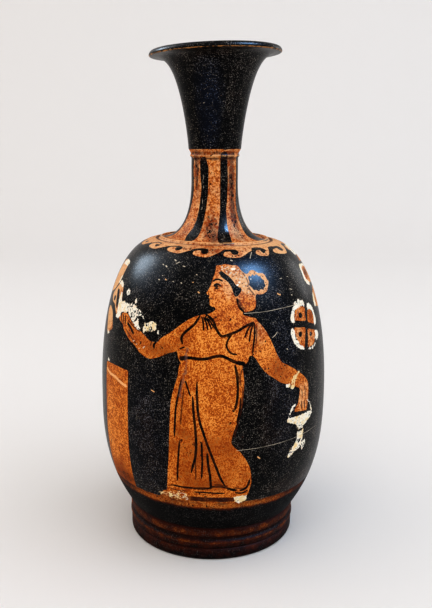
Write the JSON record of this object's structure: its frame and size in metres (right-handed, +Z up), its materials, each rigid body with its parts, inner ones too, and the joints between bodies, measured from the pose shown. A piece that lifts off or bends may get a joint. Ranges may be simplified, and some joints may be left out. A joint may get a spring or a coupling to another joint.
{
  "type": "squat lekythos",
  "caption": "Fired clay oil flask with a ring foot, full rounded body, narrow neck, trumpet mouth and a strap handle at the back.",
  "frame": {"origin": "on the ground under the middle of the body", "axes": "+Z up; -Y out of the painted front; +Y out of the handle at the back; +X to the right as the front is seen"},
  "size_m": [0.1042, 0.1042, 0.2221],
  "materials": {
    "painted_clay": "worn black gloss over orange clay, with the figure and ornament left in the clay colour"
  },
  "bodies": {
    "root": {"lekythos": "painted_clay"}
  },
  "joints": []
}
